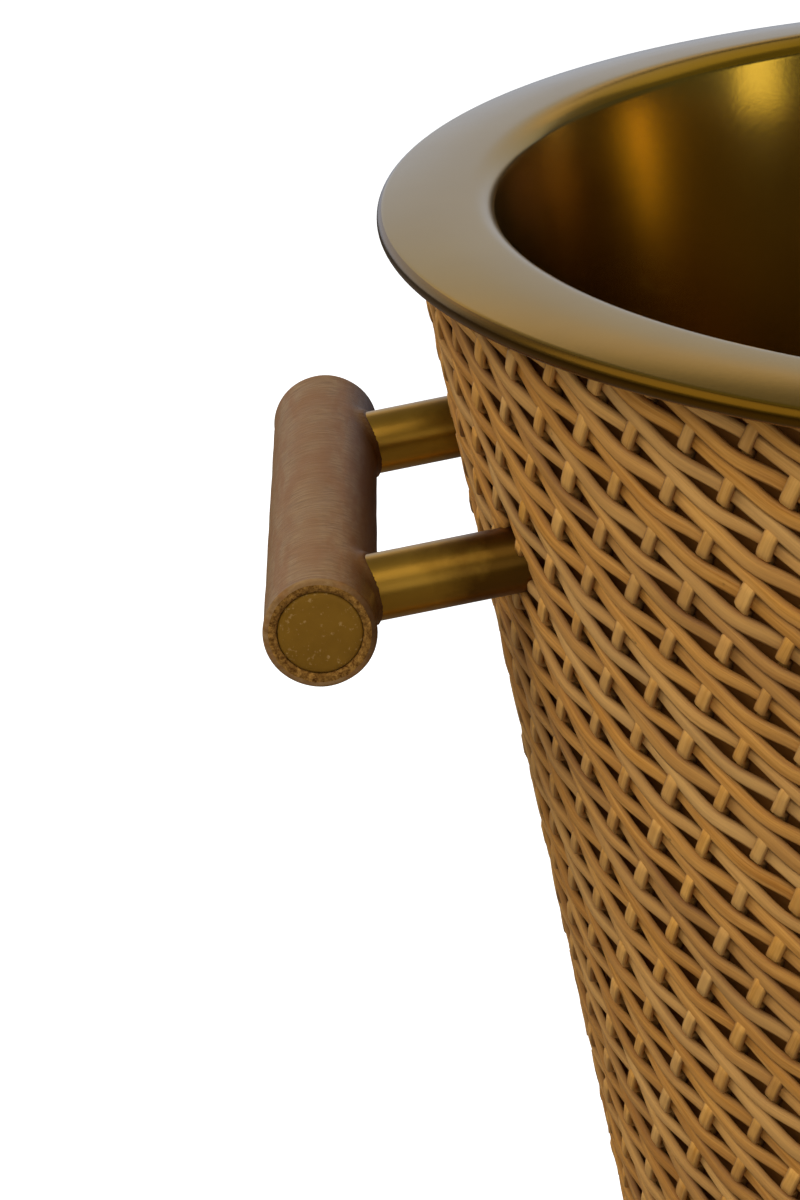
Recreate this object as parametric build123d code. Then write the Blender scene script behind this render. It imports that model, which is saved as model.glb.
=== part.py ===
"""Champagne bucket with two bar handles, cane cladding and a matching floor stand.

Millimetres, +Z up. The origin is on the floor, on the axis of the stand.
The handles stand out along -X (left) and +X (right).
"""
import os
from math import cos, radians, sin, tan

from build123d import *

# ---------------------------------------------------------------- driving dimensions
# Bucket
RIM_R = 130.0            # outer radius of the rolled rim
BUCKET_H = 250.0         # underside of the foot ring to the top of the rim
WALL_ANGLE = 10.6        # half angle of the tapered wall, degrees
CANE_TOP_R = 125.75      # outside of the cane, extrapolated to the top of the rim
CANE_T = 4.0             # cane mat, measured horizontally
SHELL_T = 1.2            # structural cone behind the cane
SHEET_T = 1.2            # spun brass sheet
MOUTH_R = 111.2          # radius of the mouth
FOOT_T = 2.0             # felt foot ring
BASE_PLATE_T = 2.0
STANDOFF_H = 8.0
BAND_H = 10.0            # brass band round the lower edge
BAND_GAP = 0.8           # band to the wall of the dish

# Rim section
CROWN_TILT = 14.0        # slope at the outer end of the crown, degrees
CROWN_START = 4.3        # from the corner of the mouth to the start of the crown
CROWN_R = 44.0
LIP_R = 1.8
LIP_UNDER_R = 1.55
LIP_DEPTH = 5.4          # top of the rim to the underside of the lip
HEM_R = 126.6            # inner end of the turned-under hem
MOUTH_EDGE_R = 4.2       # the wall rolls over into the rim
FLOOR_FILLET = 9.0

# Handles
HANDLE_DROP = 51.35      # top of the rim to the middle of the posts, on the wall
HANDLE_STANDOFF = 24.45  # wall to the axis of the bar, square to the wall
HANDLE_L = 104.0
GRIP_R = 8.9             # leather sleeve
GRIP_END_R = 9.05        # its cut end stands a little proud
GRIP_END_L = 1.6
CORE_R = 6.5
DISC_T = 1.5
DISC_SINK = 0.25         # the end disc sits just inside the cut edge
POST_R = 5.43
POST_SPACING = 72.5
STUD_R = 2.5
STUD_IN_CORE = 4.5
STUD_INSIDE = 6.0        # stud past the shell, inside the double wall
WASHER_R = 5.0
WASHER_FACE = 2.6        # shell to the flat face of the tapered washer
NUT_T = 2.7
NUT_FLATS = 8.0

# Stand
SEAT_Z = 560.0           # where the bucket's foot ring rests
FLOOR_PAD_R = 143.0
FLOOR_PAD_T = 3.0
WEIGHT_R = 146.0
WEIGHT_T = 9.0
COVER_R = 150.0
COVER_T = 1.5
COVER_SKIRT_Z = 1.2      # the skirt's lower edge clears the floor
COVER_SHOULDER_Z = 13.0
COVER_TOP_Z = 20.0
COVER_HUB_R = 30.0
TUBE_R = 16.0
TUBE_T = 1.5
COLLAR_FOOT_R = 33.0
COLLAR_H = 24.0
COLLAR_SOCKET = 8.0
COLLAR_NECK_R = 18.5
ROD_R = 4.0
ROD_HOLE_R = 4.5
NUT_M8_FLATS = 13.0
NUT_M8_T = 6.0
WASHER_M8_R = 10.0
WASHER_M8_T = 1.6
GRIP_WRAP_LOW_Z = 372.0
GRIP_WRAP_HIGH_Z = 488.0
GRIP_WRAP_T = 1.7
WRAP_RING_H = 6.0
WRAP_RING_R = 19.0
DISH_T = 1.5
DISH_WALL_H = 24.0
DISH_FILLET = 3.0
DISH_BEAD_R = 1.9
SEAT_PAD_T = 2.0
SEAT_PAD_R = 72.0
SEAT_PLATE_R = 48.0
SEAT_PLATE_T = 7.0
SEAT_SCREW_R = 2.5
SEAT_SCREW_HEAD_R = 4.8
SEAT_SCREW_CIRCLE_R = 34.0
SEAT_SCREW_COUNT = 3

# Fasteners under the bucket
BASE_SCREW_R = 2.0
BASE_SCREW_HEAD_R = 3.8
BASE_SCREW_HEAD_T = 1.5
STANDOFF_R = 5.5
STANDOFF_CIRCLE_R = 42.0
STANDOFF_COUNT = 4
FOOT_RING_R = 70.0
FOOT_RING_HOLE_R = 52.0

FIT = 0.1                # clearance of pieces that are assembled
POST_HOLE_GAP = 0.25     # cane and leather trimmed round a post

# ---------------------------------------------------------------- derived places
SLOPE = tan(radians(WALL_ANGLE))
RIM_Z = SEAT_Z + BUCKET_H
TILT = radians(WALL_ANGLE)


def cane_r(z):
    """Outside radius of the cane at height z."""
    return CANE_TOP_R - SLOPE * (RIM_Z - z)


def shell_r(z):
    """Outside radius of the structural cone at height z."""
    return cane_r(z) - CANE_T


def shell_inner_r(z):
    return shell_r(z) - SHELL_T


def liner_r(z):
    """Inside radius of the vessel's wall at height z."""
    return MOUTH_R - SLOPE * (RIM_Z - z)


BASE_PLATE_Z = SEAT_Z + FOOT_T
STANDOFF_Z = BASE_PLATE_Z + BASE_PLATE_T
LINER_UNDER_Z = STANDOFF_Z + STANDOFF_H
LINER_FLOOR_Z = LINER_UNDER_Z + SHEET_T
BAND_Z = BASE_PLATE_Z + 0.5
CANE_LOW_Z = BAND_Z + 1.5
CANE_HIGH_Z = RIM_Z - 3.0
SHELL_HIGH_Z = RIM_Z - 2.0


# ---------------------------------------------------------------- helpers
def spin(outline):
    """Revolve a closed (radius, height) outline about the axis."""
    return revolve(Plane.XZ * make_face(outline), Axis.Z)


def ring(points):
    """Revolve a closed polygon of (radius, height) points."""
    return spin(Polyline(*points, close=True))


def tube(outer, inner, low, high):
    return ring([(inner, low), (outer, low), (outer, high), (inner, high)])


def disc(radius, low, high):
    return Pos(0, 0, low) * Cylinder(radius, high - low, align=(Align.CENTER, Align.CENTER, Align.MIN))


def cone_wall(outer_radius, thickness, low, high):
    """A tapered wall whose outside radius is the given function of height."""
    return ring([
        (outer_radius(low) - thickness, low),
        (outer_radius(low), low),
        (outer_radius(high), high),
        (outer_radius(high) - thickness, high),
    ])


def solid_cone(radius, low, high):
    return ring([(0, low), (radius(low), low), (radius(high), high), (0, high)])


def hex_nut(flats, thickness, hole):
    """A nut standing on the XY plane."""
    blank = extrude(RegularPolygon(flats / 2, 6, major_radius=False), thickness)
    return blank - Cylinder(hole, 4 * thickness)


def save(shape, name):
    solids = shape.solids()
    export_step(solids[0] if len(solids) == 1 else Compound(children=solids), f"parts/{name}.step")


# ---------------------------------------------------------------- vessel
def vessel():
    """The spun sheet: floor, tapered wall, crowned rim and the turned-under lip."""
    top = RIM_Z
    crown_knee_r = MOUTH_R + CROWN_START + CROWN_R * tan(radians(CROWN_TILT / 2))
    lip_corner_z = top - (RIM_R - crown_knee_r) * tan(radians(CROWN_TILT))
    corners = [
        (0, LINER_FLOOR_Z),
        (liner_r(LINER_FLOOR_Z), LINER_FLOOR_Z),
        (MOUTH_R, top),
        (crown_knee_r, top),
        (RIM_R, lip_corner_z),
        (RIM_R, top - LIP_DEPTH),
        (HEM_R, top - LIP_DEPTH),
    ]
    radii = [FLOOR_FILLET, MOUTH_EDGE_R, CROWN_R, LIP_R, LIP_UNDER_R]
    face_line = FilletPolyline(*corners, radius=radii)
    sheet = offset(face_line.wires()[0], amount=SHEET_T, side=Side.RIGHT)
    return spin(sheet)


# ---------------------------------------------------------------- bucket body
def post_line(side):
    """Location of one handle: origin on the wall, Z along the posts, Y along the bar."""
    root_z = RIM_Z - HANDLE_DROP
    out = Vector(side * cos(TILT), 0, -sin(TILT))
    plane = Plane(origin=(side * cane_r(root_z), 0, root_z), x_dir=(0, -side, 0), z_dir=out)
    return plane


def both_posts(side, shape):
    """Two copies of a shape that stands along a post, at the two posts of a handle."""
    plane = post_line(side)
    half = POST_SPACING / 2
    return [plane * Pos(offset_x, 0, 0) * shape for offset_x in (-half, half)]


def along_post(radius, low, high):
    """A round bar along a post, from low to high, measured outwards from the wall."""
    return Pos(0, 0, low) * Cylinder(radius, high - low, align=(Align.CENTER, Align.CENTER, Align.MIN))


def cut_for_handles(shape, radius, reach):
    for side in (-1, 1):
        for hole in both_posts(side, along_post(radius, -reach, reach)):
            shape -= hole
    return shape


def cane():
    wall = cone_wall(cane_r, CANE_T - FIT, CANE_LOW_Z, CANE_HIGH_Z)
    return cut_for_handles(wall, POST_R + POST_HOLE_GAP, 16)


def shell():
    wall = cone_wall(shell_r, SHELL_T, BASE_PLATE_Z, SHELL_HIGH_Z)
    return cut_for_handles(wall, STUD_R + FIT, 20)


def base_band():
    """A band round the lower edge, with a lip turned in under the cane."""
    low, high = BAND_Z, BAND_Z + BAND_H
    return ring([
        (shell_r(low) + FIT, low),
        (cane_r(low) + SHEET_T, low),
        (cane_r(high) + SHEET_T, high),
        (cane_r(high) + FIT / 2, high),
        (cane_r(low + SHEET_T) + FIT / 2, low + SHEET_T),
        (shell_r(low + SHEET_T) + FIT, low + SHEET_T),
    ])


def standoff_places():
    return PolarLocations(STANDOFF_CIRCLE_R, STANDOFF_COUNT, start_angle=45)


def base_plate():
    low, high = BASE_PLATE_Z, STANDOFF_Z
    plate = solid_cone(lambda z: shell_inner_r(z) - FIT / 2, low, high)
    for place in standoff_places():
        plate -= place * disc(BASE_SCREW_R + FIT, low - 1, high + 1)
    return plate


def standoffs():
    post = disc(STANDOFF_R, STANDOFF_Z, LINER_UNDER_Z) - disc(BASE_SCREW_R, STANDOFF_Z - 1, LINER_UNDER_Z - 2)
    return Compound(children=[place * post for place in standoff_places()])


def base_screws():
    head = disc(BASE_SCREW_HEAD_R, BASE_PLATE_Z - BASE_SCREW_HEAD_T, BASE_PLATE_Z)
    head = fillet(head.edges().group_by(Axis.Z)[0], BASE_SCREW_HEAD_T * 0.6)
    slot = Pos(0, 0, BASE_PLATE_Z - BASE_SCREW_HEAD_T) * Box(2 * BASE_SCREW_HEAD_R, 1.0, 1.2)
    shank = disc(BASE_SCREW_R, BASE_PLATE_Z, LINER_UNDER_Z - 2.5)
    screw = head - slot + shank
    return Compound(children=[place * screw for place in standoff_places()])


def foot_ring():
    return tube(FOOT_RING_R, FOOT_RING_HOLE_R, SEAT_Z, BASE_PLATE_Z)


# ---------------------------------------------------------------- handles
def bar(side, radius, length, start=None):
    """A round bar along the handle's length, centred unless a start is given."""
    plane = post_line(side)
    centre = -length / 2 if start is None else start
    turn = Rotation(0, 90, 0)
    blank = turn * Cylinder(radius, length, align=(Align.CENTER, Align.CENTER, Align.MIN))
    return plane * Pos(centre, 0, HANDLE_STANDOFF) * blank


def handle_core(side):
    core = bar(side, CORE_R, HANDLE_L - 2 * (DISC_T + DISC_SINK))
    for hole in both_posts(side, along_post(STUD_R, 0, HANDLE_STANDOFF - CORE_R + STUD_IN_CORE)):
        core -= hole
    return core


def handle_leather(side):
    half = HANDLE_L / 2
    sleeve = bar(side, GRIP_R, HANDLE_L)
    for start in (-half, half - GRIP_END_L):
        sleeve += bar(side, GRIP_END_R, GRIP_END_L, start)
    sleeve -= bar(side, CORE_R + FIT / 2, HANDLE_L + 2)
    for hole in both_posts(side, along_post(POST_R + FIT, 0, HANDLE_STANDOFF)):
        sleeve -= hole
    return sleeve


def handle_discs(side):
    half = HANDLE_L / 2
    starts = (DISC_SINK - half, half - DISC_SINK - DISC_T)
    return Compound(children=[bar(side, CORE_R, DISC_T, start) for start in starts])


def handle_posts(side):
    """Each post is saddled on the core of the bar and cut to the shell at its root."""
    blank = along_post(POST_R, -14, HANDLE_STANDOFF) - along_post(STUD_R, -15, HANDLE_STANDOFF + 1)
    core = bar(side, CORE_R + FIT / 2, HANDLE_L)
    wall = solid_cone(lambda z: shell_r(z) + FIT / 2, RIM_Z - 120, RIM_Z)
    return Compound(children=[(post - core - wall).solids()[0] for post in both_posts(side, blank)])


def shell_depth():
    """Along a post, from the handle's origin back to the middle of the shell's inside."""
    half = POST_SPACING / 2
    root_r = cane_r(RIM_Z - HANDLE_DROP)
    sagitta = root_r - (root_r**2 - half**2) ** 0.5
    return (CANE_T + SHELL_T + sagitta) * cos(TILT)


def handle_studs(side):
    low = -shell_depth() - STUD_INSIDE
    high = HANDLE_STANDOFF - CORE_R + STUD_IN_CORE - 0.2
    return Compound(children=both_posts(side, along_post(STUD_R - FIT / 2, low, high)))


def handle_washers(side):
    """Tapered washers, round outside, cut to the inside of the shell."""
    low = -shell_depth() - WASHER_FACE
    blank = along_post(WASHER_R, low, 0) - along_post(STUD_R, low - 1, 1)
    inside = solid_cone(lambda z: shell_inner_r(z) - FIT / 2, RIM_Z - 120, RIM_Z)
    return Compound(children=[(washer & inside).solids()[0] for washer in both_posts(side, blank)])


def handle_nuts(side):
    low = -shell_depth() - WASHER_FACE - NUT_T
    return Compound(children=both_posts(side, Pos(0, 0, low) * hex_nut(NUT_FLATS, NUT_T, STUD_R)))


# ---------------------------------------------------------------- stand
def base_weight():
    """A cast disc with a raised boss, drilled for the tie rod, its nut in a pocket below."""
    low = FLOOR_PAD_T
    high = low + WEIGHT_T
    inside_hub_z = COVER_TOP_Z - COVER_T
    body = ring([
        (0, low),
        (WEIGHT_R - 1.5, low),
        (WEIGHT_R, low + 1.5),
        (WEIGHT_R, high - 2.5),
        (WEIGHT_R - 2.5, high - 0.5),
        (COVER_HUB_R + 14, inside_hub_z - 2.6),
        (COVER_HUB_R, inside_hub_z - FIT),
        (0, inside_hub_z - FIT),
    ])
    body -= disc(ROD_HOLE_R, low - 1, COVER_TOP_Z + 1)
    body -= disc(WASHER_M8_R + 1, low - 1, low + 8)
    return body


def base_cover():
    """A spun cover: skirt, rounded shoulder, low crown and a flat land for the collar."""
    corners = [
        (COVER_R, COVER_SKIRT_Z),
        (COVER_R, COVER_SHOULDER_Z),
        (COVER_HUB_R + 10, COVER_TOP_Z),
        (ROD_HOLE_R, COVER_TOP_Z),
    ]
    line = FilletPolyline(*corners, radius=[4.0, 60.0])
    return spin(offset(line.wires()[0], amount=COVER_T, side=Side.LEFT))


def collar(flip):
    """A turned collar. Its wide foot is at height 0 and its neck takes the tube."""
    neck_z = COLLAR_H
    outline = Polyline(
        (ROD_HOLE_R, 0),
        (COLLAR_FOOT_R, 0),
        (COLLAR_FOOT_R, 3),
        (COLLAR_FOOT_R - 2, 5),
        (COLLAR_NECK_R + 1.5, neck_z - 7),
        (COLLAR_NECK_R, neck_z - 5),
        (COLLAR_NECK_R, neck_z),
        (TUBE_R + FIT / 2, neck_z),
        (TUBE_R + FIT / 2, neck_z - COLLAR_SOCKET),
        (ROD_HOLE_R, neck_z - COLLAR_SOCKET),
        close=True,
    )
    body = spin(outline)
    sharp = [e for e in body.edges().filter_by(GeomType.CIRCLE) if e.radius > TUBE_R + 1]
    body = fillet(sharp, 0.6)
    return Rotation(180, 0, 0) * body if flip else body


DISH_FLOOR_Z = SEAT_Z - SEAT_PAD_T
SEAT_PLATE_TOP_Z = DISH_FLOOR_Z - DISH_T
SEAT_PLATE_Z = SEAT_PLATE_TOP_Z - SEAT_PLATE_T
LOW_COLLAR_Z = COVER_TOP_Z
TUBE_LOW_Z = LOW_COLLAR_Z + COLLAR_H - COLLAR_SOCKET
TUBE_HIGH_Z = SEAT_PLATE_Z - COLLAR_H + COLLAR_SOCKET
ROD_LOW_Z = FLOOR_PAD_T + 0.6
ROD_HIGH_Z = SEAT_PLATE_TOP_Z - 0.5


def seat_screw_places():
    return PolarLocations(SEAT_SCREW_CIRCLE_R, SEAT_SCREW_COUNT, start_angle=90)


def seat_screw():
    """A countersunk screw, flush with the dish's floor."""
    head_t = SEAT_SCREW_HEAD_R - SEAT_SCREW_R
    top = DISH_FLOOR_Z
    screw = ring([
        (0, top - 7.5),
        (SEAT_SCREW_R, top - 7.5),
        (SEAT_SCREW_R, top - head_t),
        (SEAT_SCREW_HEAD_R, top),
        (0, top),
    ])
    return screw


def seat_screws():
    socket = Pos(0, 0, DISH_FLOOR_Z - 1.5) * extrude(RegularPolygon(1.5, 6, major_radius=False), 3)
    screw = seat_screw() - socket
    return Compound(children=[place * screw for place in seat_screw_places()])


def seat_plate():
    plate = disc(SEAT_PLATE_R, SEAT_PLATE_Z, SEAT_PLATE_TOP_Z)
    plate = chamfer(plate.edges().group_by(Axis.Z)[0], 3.0)
    plate -= disc(ROD_R + FIT / 2, SEAT_PLATE_Z - 1, SEAT_PLATE_TOP_Z + 1)
    for place in seat_screw_places():
        plate -= place * seat_screw()
    return plate


def dish_wall_r(z):
    """Inside of the dish's wall, parallel to the bucket's base band."""
    return cane_r(z) + SHEET_T + BAND_GAP


def seat_dish():
    floor, top = DISH_FLOOR_Z, DISH_FLOOR_Z + DISH_WALL_H
    corners = [(0, floor), (dish_wall_r(floor), floor), (dish_wall_r(top), top)]
    line = FilletPolyline(*corners, radius=DISH_FILLET)
    dish = spin(offset(line.wires()[0], amount=DISH_T, side=Side.RIGHT))
    bead_r = dish_wall_r(top) + DISH_BEAD_R
    bead = revolve(Plane.XZ * Pos(bead_r, top) * Circle(DISH_BEAD_R), Axis.Z)
    dish += bead
    for place in seat_screw_places():
        dish -= place * seat_screw()
    return dish


def tie_rod():
    rod = disc(ROD_R, ROD_LOW_Z, ROD_HIGH_Z)
    return chamfer(rod.edges().filter_by(GeomType.CIRCLE), 0.6)


def tie_nuts():
    """One nut in the pocket of the weight and one locking the rod under the seat plate."""
    low = Pos(0, 0, FLOOR_PAD_T + 0.8) * hex_nut(NUT_M8_FLATS, NUT_M8_T - 0.4, ROD_R + FIT / 4)
    lock_z = SEAT_PLATE_Z - COLLAR_H + COLLAR_SOCKET - NUT_M8_T - WASHER_M8_T
    high = Pos(0, 0, lock_z) * hex_nut(NUT_M8_FLATS, NUT_M8_T, ROD_R + FIT / 4)
    return Compound(children=[low, high])


def tie_washers():
    low_z = FLOOR_PAD_T + 0.8 + NUT_M8_T - 0.4
    low = tube(WASHER_M8_R, ROD_HOLE_R, low_z, FLOOR_PAD_T + 8)
    high_z = SEAT_PLATE_Z - COLLAR_H + COLLAR_SOCKET
    high = tube(WASHER_M8_R, ROD_HOLE_R, high_z - WASHER_M8_T, high_z)
    return Compound(children=[low, high])


def wrap_rings():
    rings = []
    for low in (GRIP_WRAP_LOW_Z - WRAP_RING_H, GRIP_WRAP_HIGH_Z):
        band = tube(WRAP_RING_R, TUBE_R + FIT / 2, low, low + WRAP_RING_H)
        edges = [e for e in band.edges().filter_by(GeomType.CIRCLE) if e.radius > TUBE_R + 1]
        rings.append(fillet(edges, 1.2))
    return Compound(children=rings)


def column_wrap():
    wrap = tube(TUBE_R + GRIP_WRAP_T, TUBE_R + FIT / 2, GRIP_WRAP_LOW_Z, GRIP_WRAP_HIGH_Z)
    edges = [e for e in wrap.edges().filter_by(GeomType.CIRCLE) if e.radius > TUBE_R + 1]
    return fillet(edges, 0.5)


# ---------------------------------------------------------------- write the pieces
os.makedirs("parts", exist_ok=True)

PIECES = {
    "floor_pad": tube(FLOOR_PAD_R, WASHER_M8_R + 2, 0, FLOOR_PAD_T),
    "base_weight": base_weight(),
    "base_cover": base_cover(),
    "lower_collar": Pos(0, 0, LOW_COLLAR_Z) * collar(flip=False),
    "column_tube": tube(TUBE_R, TUBE_R - TUBE_T, TUBE_LOW_Z, TUBE_HIGH_Z),
    "column_wrap": column_wrap(),
    "wrap_rings": wrap_rings(),
    "upper_collar": Pos(0, 0, SEAT_PLATE_Z) * collar(flip=True),
    "tie_rod": tie_rod(),
    "tie_nuts": tie_nuts(),
    "tie_washers": tie_washers(),
    "seat_plate": seat_plate(),
    "seat_screws": seat_screws(),
    "seat_dish": seat_dish(),
    "seat_pad": disc(SEAT_PAD_R, DISH_FLOOR_Z, SEAT_Z),
    "vessel": vessel(),
    "outer_shell": shell(),
    "rattan_wrap": cane(),
    "base_band": base_band(),
    "base_plate": base_plate(),
    "base_standoffs": standoffs(),
    "base_screws": base_screws(),
    "foot_ring": foot_ring(),
}
for side_name, side_sign in (("left", -1), ("right", 1)):
    PIECES[f"handle_core_{side_name}"] = handle_core(side_sign)
    PIECES[f"handle_leather_{side_name}"] = handle_leather(side_sign)
    PIECES[f"handle_discs_{side_name}"] = handle_discs(side_sign)
    PIECES[f"handle_posts_{side_name}"] = handle_posts(side_sign)
    PIECES[f"handle_studs_{side_name}"] = handle_studs(side_sign)
    PIECES[f"handle_washers_{side_name}"] = handle_washers(side_sign)
    PIECES[f"handle_nuts_{side_name}"] = handle_nuts(side_sign)

for piece_name, piece in PIECES.items():
    save(piece, piece_name)
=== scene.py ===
import math

import bpy
import numpy as np
from mathutils import Matrix, Vector

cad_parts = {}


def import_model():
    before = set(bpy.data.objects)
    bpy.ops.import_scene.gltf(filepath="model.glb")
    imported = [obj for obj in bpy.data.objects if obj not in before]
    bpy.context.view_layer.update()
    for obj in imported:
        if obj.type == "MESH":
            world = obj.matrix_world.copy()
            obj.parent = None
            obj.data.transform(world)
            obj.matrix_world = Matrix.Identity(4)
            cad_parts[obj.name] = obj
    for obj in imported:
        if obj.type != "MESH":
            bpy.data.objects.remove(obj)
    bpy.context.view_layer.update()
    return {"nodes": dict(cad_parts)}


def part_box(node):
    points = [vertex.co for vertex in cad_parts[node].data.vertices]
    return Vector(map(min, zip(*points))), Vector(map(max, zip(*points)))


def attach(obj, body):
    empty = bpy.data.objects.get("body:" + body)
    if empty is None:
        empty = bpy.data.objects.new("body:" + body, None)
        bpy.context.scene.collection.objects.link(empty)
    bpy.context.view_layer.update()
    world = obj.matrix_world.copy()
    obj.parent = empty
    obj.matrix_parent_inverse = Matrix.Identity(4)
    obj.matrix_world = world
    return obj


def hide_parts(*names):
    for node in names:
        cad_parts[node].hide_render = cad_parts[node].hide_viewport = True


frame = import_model()

MM = 0.001

# ------------------------------------------------------------------ places and sizes, metres
VESSEL_LOW, VESSEL_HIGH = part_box("vessel")
CANE_LOW, CANE_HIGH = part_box("rattan_wrap")
RIM_Z = VESSEL_HIGH.z
RIM_R = 0.130
WALL_ANGLE = math.radians(10.6)
SIN_A, COS_A, TAN_A = math.sin(WALL_ANGLE), math.cos(WALL_ANGLE), math.tan(WALL_ANGLE)
CANE_R = 0.12575                    # outside of the cane, extrapolated to the rim's top
APEX_Z = RIM_Z - CANE_R / TAN_A     # where the tapered wall's lines meet
SHEET_T = 0.0012                    # spun brass

POST_DROP = 51.35 * MM              # top of the rim to the middle of the posts, on the wall
POST_HALF = 36.25 * MM              # half the distance between the posts
POST_R = 5.43 * MM
BAR_OUT = 24.45 * MM                # wall to the axis of the bar
BAR_HALF = 52 * MM
GRIP_R = 8.95 * MM


# ------------------------------------------------------------------ mesh helpers
def new_object(name, mesh, materials):
    ob = bpy.data.objects.new(name, mesh)
    bpy.context.scene.collection.objects.link(ob)
    for material in materials:
        mesh.materials.append(material)
    return ob


def quad_mesh(name, points, quads):
    """A smooth-shaded mesh from arrays of points and quads."""
    mesh = bpy.data.meshes.new(name)
    mesh.vertices.add(len(points))
    mesh.vertices.foreach_set("co", np.asarray(points, np.float32).ravel())
    mesh.loops.add(quads.size)
    mesh.loops.foreach_set("vertex_index", np.asarray(quads, np.int32).ravel())
    mesh.polygons.add(len(quads))
    mesh.polygons.foreach_set("loop_start", np.arange(0, quads.size, 4, dtype=np.int32))
    mesh.polygons.foreach_set("use_smooth", np.ones(len(quads), bool))
    mesh.update(calc_edges=True)
    mesh.validate()
    return mesh


def point_vectors(mesh, name, values):
    """A vector for each vertex, which a material reads by its name."""
    layer = mesh.attributes.new(name, "FLOAT_VECTOR", "POINT")
    layer.data.foreach_set("vector", np.asarray(values, np.float32).ravel())


def grid_quads(rows, columns, closed):
    """Quads of a grid whose columns close on themselves, or don't."""
    i, j = np.meshgrid(np.arange(rows - 1), np.arange(columns if closed else columns - 1), indexing="ij")
    k = (j + 1) % columns
    a, b, c, d = (i * columns + j, i * columns + k, (i + 1) * columns + k, (i + 1) * columns + j)
    return np.stack([a, b, c, d], -1).reshape(-1, 4)


def lathe(name, outline, segments, materials):
    """Spin a closed (radius, height) outline about the axis. Neither end meets the axis."""
    outline = np.asarray(outline)
    turn = np.linspace(0, 2 * np.pi, segments, endpoint=False)
    rows = len(outline)
    radius, height = outline[:, 0][:, None], outline[:, 1][:, None]
    points = np.stack([radius * np.cos(turn), radius * np.sin(turn), height + 0 * turn], -1)
    quads = grid_quads(rows, segments, True)
    last = (rows - 1) * segments + np.arange(segments)
    first = np.arange(segments)
    seam = np.stack([last, np.roll(last, -1), np.roll(first, -1), first], -1)
    mesh = quad_mesh(name, points.reshape(-1, 3), np.vstack([quads, seam]))
    return new_object(name, mesh, materials)


def rounded(corners, radii, step=math.radians(7)):
    """A polyline whose inner corners are rounded to the given radii."""
    out = [np.array(corners[0], float)]
    for a, b, c, r in zip(corners, corners[1:], corners[2:], radii):
        a, b, c = (np.array(p, float) for p in (a, b, c))
        u, v = (a - b) / np.linalg.norm(a - b), (c - b) / np.linalg.norm(c - b)
        half = math.acos(np.clip(u @ v, -1, 1)) / 2
        reach = r / math.tan(half)
        centre = b + (u + v) / np.linalg.norm(u + v) * r / math.sin(half)
        start, end = b + u * reach - centre, b + v * reach - centre
        sweep = math.atan2(start[0] * end[1] - start[1] * end[0], start @ end)
        count = max(2, int(abs(sweep) / step) + 2)
        for t in np.linspace(0, sweep, count):
            turn = np.array([[math.cos(t), -math.sin(t)], [math.sin(t), math.cos(t)]])
            out.append(centre + turn @ start)
    out.append(np.array(corners[-1], float))
    return np.array(out)


def thicken(line, thickness):
    """The closed outline of a sheet: a face line and its other side, to the line's right."""
    along = np.gradient(line, axis=0)
    along /= np.linalg.norm(along, axis=1)[:, None]
    other = line + np.stack([along[:, 1], -along[:, 0]], -1) * thickness
    return np.vstack([line, other[::-1]])


def wobble(x, seed, waves=(1.0, 2.3, 4.1)):
    """A smooth pseudo-random curve of x, about -1 to 1."""
    shift = np.random.default_rng(seed).uniform(0, 2 * np.pi, len(waves))
    return sum(np.sin(w * x + s) for w, s in zip(waves, shift)) / len(waves)


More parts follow.
